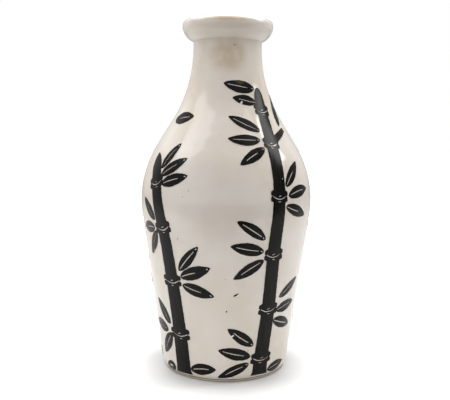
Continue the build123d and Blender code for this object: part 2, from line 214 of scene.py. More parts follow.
@dataclass(frozen=True)
class CreamGlaze:
    """Cream slip under a clear glossy glaze, dipped and fired on a thrown pot.

    The eye sees a warm white that drifts a little in tone, reflections bent by the hand-made surface,
    faint throwing lines and a few iron specks. The front of the neck and the lip have a brown patch that
    is partly the glaze's own tint and partly painted shade.
    """

    pale: str = "ECE4DB"
    warm: str = "E4D8C9"
    thin: str = "CFC4B3"
    speck: str = "6B5A48"
    # Brown on the front of the neck and the lip: partly the glaze's own tint, partly painted shade.
    shaded_tint: str = "D2C0A8"
    neck_tint_and_shade: SoftPatch = SoftPatch((0.5, -28.0, 269.0), (1.0, 2.5, 1.0), 8.0, 21.0)
    lip_tint_and_shade: SoftPatch = SoftPatch((0.0, -41.0, 297.0), (0.25, 0.6, 2.2), 2.0, 8.5)
    mottle_size: float = 42.0
    mottle_span: Pair = (0.35, 0.68)
    thin_span: Pair = (3.0, 7.5)
    thin_share: float = 0.75
    blotch_size: float = 9.0
    blotch_span: Pair = (0.25, 0.6)
    blotch_least: float = 0.25
    speck_spacing: float = 9.0
    speck_radius: float = 0.42
    speck_share: float = 0.8
    ripple: Relief = Relief(18.0, 0.45, 1.1)
    throwing: Relief = Relief(5.5, 0.06, 0.3)
    throwing_bend: float = 1.5
    peel: Relief = Relief(2.6, 0.1, 0.12)
    roughness: float = 0.09
    roughness_drift: float = 0.06
    ior: float = 1.6

    def material(self) -> Material:
        """Build the glaze's node material."""
        made, graph = new_material("cream_gloss_glaze")
        place = graph.place()
        mottle = graph.noise(place, self.mottle_size, 3.0)
        colour = graph.mix(graph.ramp(mottle, self.mottle_span), self.pale, self.warm)
        # The coat goes greyer towards its bottom edge, over its lowest few millimetres.
        colour = graph.mix(graph.by_level(place, self.thin_span, (self.thin_share, 0.0)), colour, self.thin)
        # Brown patches on the front of the neck and the lip, partly tint and partly painted shade, broken up
        # by blotches.
        tint_and_shade_masks = [stain.spread(graph, place) for stain in (self.neck_tint_and_shade, self.lip_tint_and_shade)]
        near = graph.math("MAXIMUM", *tint_and_shade_masks)
        blotch = graph.noise(place, self.blotch_size, 2.0)
        patchy = graph.ramp(blotch, self.blotch_span, (self.blotch_least, 1.0))
        colour = graph.mix(graph.math("MULTIPLY", near, patchy), colour, self.shaded_tint)
        dots = graph.node("TexVoronoi", {"Vector": place, "Scale": per_mm(self.speck_spacing)})
        reach = self.speck_radius / self.speck_spacing
        specks = graph.ramp(dots.outputs["Distance"], (reach / 2, reach), (self.speck_share, 0.0))
        colour = graph.mix(specks, colour, self.speck)
        broad = graph.bump(graph.noise(place, self.ripple.size, 1.0), self.ripple)
        wave_scale = per_mm(self.throwing.size) / 20.0 * math.pi
        lines = graph.node("TexWave", {
            "Vector": place, "Scale": wave_scale, "Distortion": self.throwing_bend, "Detail": 2.0,
        }, bands_direction="Z")
        thrown = graph.bump(lines.outputs["Fac"], self.throwing, broad)
        skin = graph.bump(graph.noise(place, self.peel.size, 2.0), self.peel, thrown)
        sheen = graph.sheen(mottle, self.roughness, self.roughness_drift)
        graph.surface({"Base Color": colour, "Roughness": sheen, "IOR": self.ior, "Normal": skin})
        return made


@dataclass(frozen=True)
class LinerGlaze:
    """Clear glossy glaze poured inside and out again, over the bare pale clay.

    The eye sees the coat's cream at the mouth, going browner and streaked further down, which is painted
    shade of the dark inside.
    """

    mouth: str = "E4DACD"
    # Painted shade: browner towards the bottom of the inside.
    deep: str = "C3B199"
    deep_span: Pair = (215.0, 294.0)
    deep_least: float = 0.4
    runs: Relief = Relief(30.0, 0.3, 0.6)
    roughness: float = 0.22
    ior: float = 1.5

    def material(self) -> Material:
        """Build the liner's node material."""
        made, graph = new_material("clear_liner_glaze")
        place = graph.place()
        # Painted shade, deepening down the inside and streaked by the mottle.
        down = graph.by_level(place, self.deep_span, (1.0, 0.0))
        mottle = graph.noise(place, self.runs.size, 3.0)
        streaked = graph.math("MULTIPLY", down, mottle)
        depth = graph.math("MULTIPLY_ADD", down, self.deep_least, streaked)
        graph.surface({
            "Base Color": graph.mix(depth, self.mouth, self.deep), "Roughness": self.roughness,
            "IOR": self.ior, "Normal": graph.bump(mottle, self.runs)})
        return made


@dataclass(frozen=True)
class BareClay:
    """Fired buff stoneware, unglazed and wiped with a sponge.

    The eye sees a dry grey-beige with fine grit, and brown painted shade at the contact with the floor and
    in the groove under the coat's edge.
    """

    buff: str = "CCC3B5"
    grey: str = "B5AB9C"
    # Painted shade: brown at the floor contact and in the groove under the coat's edge.
    painted_shade_brown: str = "6A573F"
    contact_span: Pair = (0.1, 0.8)
    contact_share: float = 0.8
    edge_span: Pair = (1.7, 2.3)
    edge_share: float = 0.75
    cloud_size: float = 14.0
    grit: Relief = Relief(1.1, 0.4, 0.2)
    roughness: float = 0.82

    def material(self) -> Material:
        """Build the clay's node material."""
        made, graph = new_material("bare_stoneware_clay")
        place = graph.place()
        tone = graph.mix(graph.noise(place, self.cloud_size, 3.0), self.buff, self.grey)
        # Painted shade at the floor contact and in the groove under the coat.
        contact = graph.by_level(place, self.contact_span, (self.contact_share, 0.0))
        edge = graph.by_level(place, self.edge_span, (0.0, self.edge_share))
        grit = graph.noise(place, self.grit.size, 2.0)
        graph.surface({
            "Base Color": graph.mix(graph.math("MAXIMUM", contact, edge), tone, self.painted_shade_brown),
            "Roughness": self.roughness, "Normal": graph.bump(grit, self.grit)})
        return made


@dataclass(frozen=True)
class BlackSlip:
    """Black iron slip laid with a soft brush, under the same clear glaze.

    The eye sees a deep warm black with faint streaks along each stroke, two lighter olive patches
    that are painted reflection, and a satin reflection.
    """

    deep: str = "080707"
    thin: str = "26211C"
    olive: str = "4C4532"
    # Painted reflection: two lighter olive patches where the slip catches the light.
    painted_reflections: tuple[SoftPatch, ...] = (
        SoftPatch((10.0, -30.4, 249.0), (1.0, 1.0, 1.0), 2.0, 6.0),
        SoftPatch((12.4, -55.6, 183.3), (1.0, 1.0, 1.0), 1.5, 6.5),
    )
    streak_length: float = 26.0
    streaks: Relief = Relief(1.6, 0.25, 0.12)
    thin_span: Pair = (0.45, 0.8)
    roughness: float = 0.18
    roughness_drift: float = 0.1
    specular: float = 0.18

    def material(self) -> Material:
        """Build the slip's node material."""
        made, graph = new_material("black_iron_slip")
        scale = (per_mm(self.streak_length), per_mm(self.streaks.size), 1.0)
        along = graph.node("Mapping", {"Vector": graph.place("UV"), "Scale": scale}).outputs["Vector"]
        streaks = graph.node("TexNoise", {"Vector": along, "Scale": 1.0, "Detail": 3.0}).outputs["Fac"]
        colour = graph.mix(graph.ramp(streaks, self.thin_span), self.deep, self.thin)
        place = graph.place()
        # Painted reflection: lighter olive patches laid into the black.
        for patch in self.painted_reflections:
            colour = graph.mix(patch.spread(graph, place), colour, self.olive)
        graph.surface({
            "Base Color": colour, "Roughness": graph.sheen(streaks, self.roughness, self.roughness_drift),
            "Specular IOR Level": self.specular, "Normal": graph.bump(streaks, self.streaks)})
        return made


# Modelling steps

SPIN_GAP = 0.002


def deselect() -> None:
    """Leave edit mode and deselect every object."""
    if bpy.context.mode != "OBJECT":
        bpy.ops.object.mode_set(mode="OBJECT")
    bpy.ops.object.select_all(action="DESELECT")


def pick(*pieces: Object) -> None:
    """Select pieces, the first of them active."""
    deselect()
    for piece in pieces:
        piece.select_set(True)
    bpy.context.view_layer.objects.active = pieces[0]


def modify(piece: Object, kind: str, **settings: Any) -> None:
    """Add a modifier to a piece and apply it.

    Args:
        piece: the object to change.
        kind: the modifier's type.
        settings: its properties by name.
    """
    pick(piece)
    modifier = piece.modifiers.new(kind.lower(), kind)
    for name, value in settings.items():
        setattr(modifier, name, value)
    bpy.ops.object.modifier_apply(modifier=modifier.name)


def joined(name: str, pieces: Sequence[Object]) -> Object:
    """Join pieces into one object of that name."""
    pick(*pieces)
    if len(pieces) > 1:
        bpy.ops.object.join()
    made = bpy.context.view_layer.objects.active
    made.name = name
    made.data.name = name
    return made


def merge_points(piece: Object, gap: float, recalculate: bool) -> None:
    """Merge a piece's points that lie together.

    Args:
        piece: the object to clean.
        gap: largest distance between merged points, in millimetres.
        recalculate: whether its normals are turned outwards as well.
    """
    pick(piece)
    bpy.ops.object.mode_set(mode="EDIT")
    bpy.ops.mesh.select_all(action="SELECT")
    bpy.ops.mesh.remove_doubles(threshold=mm(gap))
    if recalculate:
        bpy.ops.mesh.normals_make_consistent(inside=False)
    bpy.ops.object.mode_set(mode="OBJECT")


def spun(name: str, line: Sequence[Vector], steps: int) -> Object:
    """Turn a half section into a body, as on a wheel.

    Args:
        name: the new object's name.
        line: points of the half section as radius and level, in millimetres.
        steps: facets round the axis.

    Returns:
        The spun object, with its faces outwards.
    """
    deselect()
    bpy.ops.mesh.primitive_plane_add(size=mm(1.0))
    made = bpy.context.active_object
    made.name = name
    made.data.name = name
    bpy.ops.object.mode_set(mode="EDIT")
    bpy.ops.mesh.select_all(action="SELECT")
    bpy.ops.mesh.merge(type="CENTER")
    bpy.ops.transform.translate(value=(mm(line[0].x), 0.0, mm(line[0].y)))
    for start, end in zip(line, line[1:]):
        step = (mm(end.x - start.x), 0.0, mm(end.y - start.y))
        bpy.ops.mesh.extrude_region_move(TRANSFORM_OT_translate={"value": step})
    bpy.ops.mesh.select_all(action="SELECT")
    bpy.ops.mesh.spin(steps=steps, angle=math.tau, center=(0.0, 0.0, 0.0), axis=(0.0, 0.0, 1.0))
    bpy.ops.object.mode_set(mode="OBJECT")
    merge_points(made, SPIN_GAP, recalculate=True)
    return made


def smooth(piece: Object, angle: float) -> None:
    """Shade a piece smooth, with edges sharper than an angle in degrees kept."""
    pick(piece)
    bpy.ops.object.shade_smooth_by_angle(angle=math.radians(angle))


def dress(piece: Object, material: Material, slot: str, *nodes: str) -> None:
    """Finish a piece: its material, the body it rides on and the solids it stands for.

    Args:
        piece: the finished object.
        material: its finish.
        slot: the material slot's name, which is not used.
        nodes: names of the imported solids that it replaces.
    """
    piece.data.materials.clear()
    piece.data.materials.append(material)
    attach(piece, BODY)
    if nodes:
        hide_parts(*nodes)
    LOG.info("%s: %d faces", piece.name, len(piece.data.polygons))


# Lines of the half section


def inward(start: Vector, end: Vector) -> Vector:
    """Return the unit direction square to a run of the outline, towards the axis."""
    along = (end - start).normalized()
    return Vector((-along.y, along.x))


def arc(centre: Vector, radius: float, start: float, end: float, step: float) -> list[Vector]:
    """Return points along an arc.

    Args:
        centre: its middle.
        radius: its radius, in millimetres.
        start: angle of its first point, in degrees.
        end: angle of its last point, in degrees.
        step: spacing of the points, in millimetres.

    Returns:
        The points, both ends among them.
    """
    count = max(2, round(abs(math.radians(end - start)) * radius / step))
    turns = [math.radians(start + (end - start) * index / count) for index in range(count + 1)]
    return [centre + Vector((math.cos(turn), math.sin(turn))) * radius for turn in turns]


def rounded(corners: Sequence[Vector], rounds: Sequence[float], step: float) -> list[Vector]:
    """Return points along a line with rounded corners.

    Args:
        corners: its ends and corners.
        rounds: radius of each corner between the ends.
        step: spacing of the points.

    Returns:
        The points, both ends among them.
    """
    line = [corners[0]]
    for before, corner, after, radius in zip(corners, corners[1:], corners[2:], rounds):
        back = (before - corner).normalized()
        ahead = (after - corner).normalized()
        half_turn = (math.pi - back.angle(ahead)) / 2
        start = corner + back * radius * math.tan(half_turn)
        end = corner + ahead * radius * math.tan(half_turn)
        centre = corner + (back + ahead).normalized() * (radius / math.cos(half_turn))
        first = math.degrees(math.atan2(start.y - centre.y, start.x - centre.x))
        last = math.degrees(math.atan2(end.y - centre.y, end.x - centre.x))
        last += 360.0 * round((first - last) / 360.0)
        line.extend(arc(centre, radius, first, last, step))
    return line + [corners[-1]]


def respaced(line: Sequence[Vector], step: float) -> list[Vector]:
    """Return a line's points again at even spacing."""
    reach = [0.0]
    for start, end in zip(line, line[1:]):
        reach.append(reach[-1] + (end - start).length)
    count = max(2, round(reach[-1] / step))
    points = []
    for index in range(count + 1):
        wanted = reach[-1] * index / count
        at = min(bisect_right(reach, wanted), len(line) - 1)
        span = reach[at] - reach[at - 1]
        points.append(line[at - 1].lerp(line[at], (wanted - reach[at - 1]) / span if span else 0.0))
    return points


@dataclass(frozen=True)
class HalfSection:
    """The vase's half section in millimetres, as its solids have it."""

    foot_radius: float = 52.2
    foot_band: float = 2.8
    skirt_radius: float = 53.6
    heel_radius: float = 55.2
    heel_level: float = 6.0
    heel_round: float = 8.0
    belly_radius: float = 77.3
    belly_level: float = 166.0
    belly_round: float = 87.0
    neck_radius: float = 29.3
    neck_level: float = 244.5
    neck_round: float = 117.0
    crease_level: float = 282.0
    top_level: float = 300.0
    lip_overhang: float = 9.4
    lip_roll: float = 4.6
    wall: float = 6.4
    floor: float = 8.0
    floor_round: float = 10.0
    coat: float = 0.5
    glaze: float = 0.4
    foot_ring: float = 9.0
    foot_recess: float = 1.5

    def corners(self, depth: float) -> list[Vector]:
        """Return the outline's corners, moved in by a depth."""
        line = [
            Vector((self.skirt_radius, self.foot_band)),
            Vector((self.heel_radius, self.heel_level)),
            Vector((self.belly_radius, self.belly_level)),
            Vector((self.neck_radius, self.neck_level)),
            Vector((self.neck_radius, self.crease_level)),
        ]
        ways = [inward(start, end) for start, end in zip(line, line[1:])]
        return [
            corner + (below + above) * (depth / (1 + below.dot(above)))
            for corner, below, above in zip(line, ways[:1] + ways, ways + ways[-1:])
        ]

    def side(self, step: float) -> list[Vector]:
        """Return the outside from the foot band up to the crease under the lip."""
        rounds = (self.heel_round, self.belly_round, self.neck_round)
        return respaced(rounded(self.corners(0.0), rounds, step / 4), step)

    def roll_centre(self) -> Vector:
        """Return the middle of the lip's roll."""
        radius = self.neck_radius + self.lip_overhang - self.lip_roll
        return Vector((radius, self.top_level - self.lip_roll))

    def flare_radius(self) -> float:
        """Return the radius of the mouth's flare, which touches the roll."""
        deep = self.roll_centre().x - self.neck_radius + self.wall
        rise = self.roll_centre().y - self.crease_level
        return (deep**2 + rise**2 - self.lip_roll**2) / (2 * (deep - self.lip_roll))

    def flare_centre(self) -> Vector:
        """Return the middle of the mouth's flare."""
        return Vector((self.neck_radius - self.wall + self.flare_radius(), self.crease_level))

    def mouth_angle(self) -> float:
        """Return the angle round the roll at which the coat ends and the liner starts."""
        way = self.roll_centre() - self.flare_centre()
        return math.degrees(math.atan2(way.y, way.x))

    def lip(self, step: float) -> list[Vector]:
        """Return the lip from the crease over its roll to the mouth's edge."""
        equator = self.roll_centre() + Vector((self.lip_roll, 0.0))
        drop = Vector((self.neck_radius, self.crease_level)) - equator
        under_radius = -drop.length_squared / (2 * drop.x)
        under_centre = equator - Vector((under_radius, 0.0))
        start = math.degrees(math.atan2(drop.y, drop.x + under_radius))
        under = arc(under_centre, under_radius, start, 0.0, step)
        return under + arc(self.roll_centre(), self.lip_roll, 0.0, self.mouth_angle(), step)[1:]

    def inside(self, step: float) -> list[Vector]:
        """Return the inside from the middle of the floor up to the mouth's edge."""
        corners = self.corners(self.wall)
        share = (self.floor - corners[1].y) / (corners[2].y - corners[1].y)
        floor_corner = corners[1].lerp(corners[2], share)
        line = [Vector((0.0, self.floor)), floor_corner] + corners[2:]
        rounds = (self.floor_round, self.belly_round - self.wall, self.neck_round + self.wall)
        flare = arc(self.flare_centre(), self.flare_radius(), 180.0, self.mouth_angle(), step)
        return respaced(rounded(line, rounds, step / 4), step) + flare[1:]


class Skin:
    """The coat's outside as a sheet: an angle from the front and a length up the outline."""

    STEP = 0.5

    def __init__(self, section: HalfSection) -> None:
        """Measure the outline of a half section.

        Args:
            section: the vase's half section.
        """
        self.line = section.side(self.STEP)
        self.reach = [0.0]
        for start, end in zip(self.line, self.line[1:]):
            self.reach.append(self.reach[-1] + (end - start).length)
        self.length = self.reach[-1]

    def spot(self, length: float) -> tuple[Vector, Vector]:
        """Return the outline's point and its direction at a length from the foot band."""
        at = min(max(bisect_right(self.reach, length), 1), len(self.line) - 1)
        start, end = self.line[at - 1], self.line[at]
        share = (length - self.reach[at - 1]) / (self.reach[at] - self.reach[at - 1])
        return start.lerp(end, share), (end - start).normalized()

    def radius(self, length: float) -> float:
        """Return the vase's radius at a length from the foot band."""
        return self.spot(length)[0].x

    def length_at(self, level: float) -> float:
        """Return the length up the outline that reaches a level."""
        at = next(index for index, point in enumerate(self.line) if point.y >= level)
        return self.reach[at]

    def point(self, angle: float, length: float, lift: float) -> Vector:
        """Return a point on or over the coat.

        Args:
            angle: degrees from the front, to the right seen from outside.
            length: millimetres up the outline from the foot band.
            lift: millimetres off the coat.

        Returns:
            The point, in metres.
        """
        place, along = self.spot(length)
        radius = mm(place.x + along.y * lift)
        turn = math.radians(angle)
        return Vector((radius * math.sin(turn), -radius * math.cos(turn), mm(place.y - along.x * lift)))


# Thrown body


@dataclass
class ThrownBody:
    """The pot itself: coated outside, glazed inside and turned underneath."""

    section: HalfSection
    facets: int = 240
    body_step: float = 2.4
    lip_step: float = 0.8
    wobble: float = 0.5
    wobble_size: float = 34.0
    groove_depth: float = 0.6
    groove_height: float = 0.5
    foot_chamfer: float = 0.5
    ring_rise: float = 0.35
    turning_lines: int = 7
    turning_pitch: float = 0.12
    turning_low: float = 0.2
    edge_round: float = 0.18
    edge_angle: float = 25.0
    glaze_crease: float = 60.0
    clay_crease: float = 40.0

    def coat(self, glaze: Material) -> Object:
        """Spin the cream coat, uneven as a hand-thrown surface is.

        Args:
            glaze: the coat's finish.

        Returns:
            The coat.
        """
        line = self.section.side(self.body_step) + self.section.lip(self.lip_step)[1:]
        made = spun("glazed_coat", line, self.facets)
        waves = bpy.data.textures.new("hand_wobble", "CLOUDS")
        waves.noise_scale = mm(self.wobble_size)
        waves.noise_depth = 1
        modify(made, "DISPLACE", texture=waves, texture_coords="LOCAL", strength=mm(self.wobble),
               mid_level=0.5)
        modify(made, "SOLIDIFY", thickness=mm(self.section.coat), offset=-1.0)
        smooth(made, self.glaze_crease)
        dress(made, glaze, "cream_coat", "cream_coat")
        return made

    def liner(self, glaze: Material) -> Object:
        """Spin the glaze that lines the inside.

        Args:
            glaze: the liner's finish.

        Returns:
            The liner.
        """
        made = spun("liner_glaze", self.section.inside(self.body_step), self.facets // 2)
        pick(made)
        bpy.ops.object.mode_set(mode="EDIT")
        bpy.ops.mesh.select_all(action="SELECT")
        bpy.ops.mesh.flip_normals()
        bpy.ops.object.mode_set(mode="OBJECT")
        modify(made, "SOLIDIFY", thickness=mm(self.section.glaze), offset=-1.0)
        smooth(made, self.glaze_crease)
        dress(made, glaze, "inner_glaze", "inner_glaze")
        return made

    def foot_line(self) -> list[Vector]:
        """Return the foot's half section, with its groove under the coat and its turning lines."""
        part = self.section
        ring_inside = part.foot_radius - part.foot_ring
        band_top = part.foot_band - self.groove_height
        lean = (part.skirt_radius - part.foot_radius) / part.foot_band
        clay_edge = part.skirt_radius - part.coat
        line = [Vector((0.0, part.foot_recess + self.ring_rise))]
        for number in range(1, self.turning_lines + 1):
            rise = self.ring_rise * (1.0 if number % 2 else self.turning_low)
            line.append(Vector((ring_inside * self.turning_pitch * number, part.foot_recess + rise)))
        line += [
            Vector((ring_inside - 2 * self.foot_chamfer, part.foot_recess)),
            Vector((ring_inside, self.foot_chamfer)),
            Vector((ring_inside + self.foot_chamfer, 0.0)),
            Vector((part.foot_radius - self.foot_chamfer, 0.0)),
            Vector((part.foot_radius + lean * self.foot_chamfer, self.foot_chamfer)),
            Vector((part.foot_radius + lean * band_top, band_top)),
            Vector((clay_edge - self.groove_depth, band_top + self.groove_height / 2)),
            Vector((clay_edge, part.foot_band)),
            Vector((clay_edge - part.wall, part.foot_band)),
            Vector((0.0, part.floor - part.glaze)),
        ]
        return line

    def foot(self, clay: Material) -> Object:
        """Spin the bare foot with its ring.

        Args:
            clay: the fired clay.

        Returns:
            The foot.
        """
        made = spun("turned_foot", self.foot_line(), self.facets // 2)
        modify(made, "BEVEL", width=mm(self.edge_round), segments=2, limit_method="ANGLE",
               angle_limit=math.radians(self.edge_angle))
        smooth(made, self.clay_crease)
        dress(made, clay, "clay", "base_slab")
        return made


# Bamboo


class Side(Enum):
    """Side of a stalk that leaves stand on, seen from outside."""

    LEFT = -1
    RIGHT = 1


class Nick(Enum):
    """Where a leaf has a second, short scratch."""

    NONE = "none"
    BASE = "base"
    TIP = "tip"


class Tip(Enum):
    """How a stalk's last length ends."""

    HORN = "horn"
    ROUND = "round"


@dataclass(frozen=True)
class Leaf:
    """A leaf, placed from its stem's node: shares are of a leaf's length and width, lean in degrees."""

    run: float
    rise: float
    lean: float
    length: float
    width: float
    vein: Pair = (0.14, 0.78)
    nick: Nick = Nick.NONE
    chip: float | None = None
    bow: float = 0.0
    score: float = 1.0


@dataclass(frozen=True)
class Spray:
    """Leaves on one side of a node."""

    node: int
    side: Side
    leaves: tuple[Leaf, ...]


@dataclass(frozen=True)
class Pattern:
    """A stalk: its nodes from foot to tip as turn in degrees and share of the outline, and its leaves."""

    nodes: tuple[Pair, ...]
    sprays: tuple[Spray, ...]
    twig_node: int | None
    tip: Tip
    stem_width: float
    holes: tuple[Pair, ...] = ()


@dataclass(frozen=True)
class Fleck:
    """A stray mark: angle from the front and lean in degrees; level, length and width in millimetres."""

    angle: float
    level: float
    lean: float
    length: float
    width: float


SHORT_STALK = Pattern(
    nodes=((1.2, 0.005), (0.5, 0.128), (-2.2, 0.287), (-6.2, 0.44), (-13.4, 0.566), (-21.8, 0.652)),
    sprays=(
        Spray(0, Side.LEFT, (Leaf(0.35, 0.13, -6, 0.5, 0.98, (0.3, 0.68), Nick.NONE, 0.55, score=2.4),)),
        Spray(0, Side.RIGHT, (Leaf(0.28, 0.2, 6, 0.84, 1.08, (0.1, 0.74), bow=0.6),)),
        Spray(1, Side.LEFT, (
            Leaf(0.39, 0.24, 48, 0.97, 0.98, (0.06, 0.85)),
            Leaf(0.54, -0.01, 14, 0.8, 1.02),
            Leaf(0.38, -0.06, -57, 0.94, 1.08))),
        Spray(2, Side.RIGHT, (
            Leaf(0.32, 0.36, 48, 1.09, 0.96, (0.06, 0.8), Nick.TIP),
            Leaf(0.36, 0.16, 20, 1.07, 1.14, (0.04, 0.52), Nick.TIP),
            Leaf(0.4, -0.08, -16, 1.04, 1.06, (0.05, 0.62), Nick.TIP))),
        Spray(3, Side.LEFT, (
            Leaf(0.35, 0.19, 44, 0.92, 0.92),
            Leaf(0.4, -0.06, -2, 0.8, 1.05, (0.04, 0.6)),
            Leaf(0.32, -0.14, -60, 0.92, 0.95, (0.1, 0.7), Nick.NONE, 0.78))),
        Spray(4, Side.RIGHT, (
            Leaf(0.11, 0.42, 64, 0.95, 0.86, (0.12, 0.8), Nick.TIP),
            Leaf(0.18, 0.21, 35, 1.01, 0.98, (0.04, 0.66), Nick.TIP),
            Leaf(0.28, -0.04, 18, 0.98, 1.04, (0.08, 0.66), Nick.TIP))),
    ),
    twig_node=None,
    tip=Tip.HORN,
    stem_width=15.0,
)

TALL_STALK = Pattern(
    nodes=((0, 0.008), (0.2, 0.06), (2.2, 0.209), (2, 0.37), (3.3, 0.534), (6.4, 0.687),
           (10.8, 0.794), (13.1, 0.863)),
    sprays=(
        Spray(0, Side.RIGHT, (Leaf(0.3, 0.1, 8, 0.81, 0.94, (0.08, 0.7)),)),
        Spray(1, Side.LEFT, (
            Leaf(0.33, 0.46, 35, 1.04, 1.03, (0.2, 0.78), Nick.BASE, 0.74),
            Leaf(0.39, 0.1, 14, 1.05, 1.1, (0.2, 0.86)),
            Leaf(0.42, -0.12, -26, 1.02, 0.94, (0.2, 0.76), Nick.BASE))),
        Spray(2, Side.RIGHT, (
            Leaf(0.4, 0.32, 27, 1.07, 0.88, (0.04, 0.9)),
            Leaf(0.32, -0.1, 10, 0.94, 0.98, (0.06, 0.8)),
            Leaf(0.24, -0.4, -19, 0.92, 1.05, (0.04, 0.82)))),
        Spray(3, Side.LEFT, (
            Leaf(0.36, 0.49, 32, 1.1, 0.97, (0.14, 0.82), Nick.BASE, bow=0.9),
            Leaf(0.37, 0.12, 11, 1.06, 1.1, (0.16, 0.84), Nick.BASE),
            Leaf(0.34, -0.14, -32, 1.05, 1.0, (0.12, 0.76)))),
        Spray(4, Side.RIGHT, (
            Leaf(0.29, 0.27, 47, 1.02, 0.95, (0.06, 0.6)),
            Leaf(0.37, -0.01, 9, 1.07, 1.05, (0.1, 0.74), bow=0.8),
            Leaf(0.25, -0.31, -19, 1.06, 1.0, (0.04, 0.6)))),
        Spray(5, Side.LEFT, (
            Leaf(0.26, 0.42, 32, 0.96, 0.98, (0.12, 0.86), Nick.BASE),
            Leaf(0.37, 0.12, 3, 0.98, 1.05, (0.14, 0.86), Nick.BASE, bow=-0.8),
            Leaf(0.33, -0.15, -30, 1.07, 1.0, (0.3, 0.76), Nick.BASE))),
        Spray(5, Side.RIGHT, (Leaf(0.71, 0.59, 74, 1.14, 0.8, (0.05, 0.7)),)),
        Spray(6, Side.LEFT, (
            Leaf(0.09, 0.7, 10, 0.97, 1.14, (0.24, 0.88), Nick.BASE, bow=-0.8),
            Leaf(0.16, 0.25, 12, 0.74, 0.95, (0.02, 0.74), Nick.NONE, 0.62))),
    ),
    twig_node=5,
    tip=Tip.ROUND,
    stem_width=14.2,
    holes=((6.7, 169.7),),
)

FLECKS = (
    Fleck(5.9, 75.5, 33.0, 4.8, 1.5),
    Fleck(0.5, 62.6, 0.0, 1.4, 1.3),
    Fleck(10.0, 276.7, 0.0, 1.2, 0.9),
    Fleck(18.8, 27.9, 0.0, 0.9, 0.8),
    Fleck(-24.2, 160.5, 0.0, 0.8, 0.6),
    Fleck(-28.1, 155.5, 0.0, 0.8, 0.6),
    Fleck(-33.1, 121.1, 0.0, 0.9, 0.7),
)
TWIG = Leaf(0.22, 0.14, 27, 0.74, 0.7)
SHOULDER_LEAF = Leaf(0, 0.05, 9, 0.84, 1.2, (0.24, 0.8))


class Stroke:
    """A brush stroke on the coat, measured along its middle and aside from it, to the left."""

    PROBE = 0.2
    RATES = (1.7, 3.1, 5.3)
    WAVE_REACH = 4.0
    WAVE_DEPTH = 0.07

    def __init__(self, skin: Skin, length: float, seed: str) -> None:
        """Start a stroke.

        Args:
            skin: the coat it lies on.
            length: its length, in millimetres.
            seed: name that its unevenness is drawn from.
        """
        self.skin = skin
        self.length = length
        draw = random.Random(seed)
        self.waves = [
            [(draw.uniform(0.5, 1.0), draw.uniform(0.0, math.tau), rate) for rate in self.RATES]
            for _ in range(2)
        ]

    def centre(self, along: float) -> Pair:
        """Return the angle and the length up the outline of the stroke's middle."""
        raise NotImplementedError

    def half_width(self, along: float) -> float:
        """Return half of the stroke's width."""
        raise NotImplementedError

    def edge(self, along: float, left: bool) -> float:
        """Return the half width on one side with the brush's unevenness."""
        waves = self.waves[0 if left else 1]
        drift = sum(size * math.sin(rate * along / self.WAVE_REACH + turn) for size, turn, rate in waves)
        return self.half_width(along) + self.WAVE_DEPTH * drift * min(1.0, self.half_width(along))

    def spot(self, along: float, aside: float, lift: float) -> Vector:
        """Return a point on or over the coat.

        Args:
            along: millimetres from the stroke's start.
            aside: millimetres to the left of its middle.
            lift: millimetres off the coat.

        Returns:
            The point, in metres.
        """
        angle, length = self.centre(along)
        behind = self.centre(along - self.PROBE)
        ahead = self.centre(along + self.PROBE)
        run = math.radians(ahead[0] - behind[0]) * self.skin.radius(length)
        way = Vector((run, ahead[1] - behind[1])).normalized()
        length += way.x * aside
        angle -= math.degrees(way.y * aside / self.skin.radius(length))
        return self.skin.point(angle, length, lift)


class LeafStroke(Stroke):
    """One leaf, from the stem out to its tip."""

    LENGTH = 27.0
    WIDTH = 9.5
    WIDEST = 0.45
    FULLNESS = 0.68

    def __init__(self, skin: Skin, angle: float, share: float, side: Side, leaf: Leaf, seed: str) -> None:
        """Place a leaf beside its node.

        Args:
            skin: the coat it lies on.
            angle: the node's angle from the front, in degrees.
            share: the node's share of the outline.
            side: which side of the stem it is on.
            leaf: its form.
            seed: name that its unevenness is drawn from.
        """
        super().__init__(skin, self.LENGTH * leaf.length, seed)
        self.leaf = leaf
        self.side = side
        self.angle = angle
        self.node_length = share * skin.length
        self.half = self.WIDTH * leaf.width / 2

    def centre(self, along: float) -> Pair:
        """Return the angle and the length up the outline of the leaf's middle."""
        lean = math.radians(self.leaf.lean)
        bow = self.leaf.bow * math.sin(math.pi * along / self.length)
        run = self.LENGTH * self.leaf.run + along * math.cos(lean) - bow * math.sin(lean)
        rise = self.LENGTH * self.leaf.rise + along * math.sin(lean) + bow * math.cos(lean)
        length = self.node_length + rise
        return self.angle + math.degrees(self.side.value * run / self.skin.radius(length)), length

    def half_width(self, along: float) -> float:
        """Return half of the leaf's width."""
        share = min(max(along / self.length, 0.0), 1.0)
        power = math.log(0.5) / math.log(self.WIDEST)
        return self.half * math.sin(math.pi * share**power) ** self.FULLNESS if 0 < share < 1 else 0.0


class TwigStroke(LeafStroke):
    """A short side branch: a tapered strip."""

    TAPER = 0.4

    def half_width(self, along: float) -> float:
        """Return half of the twig's width."""
        return self.half * (1.0 - self.TAPER * along / self.length)


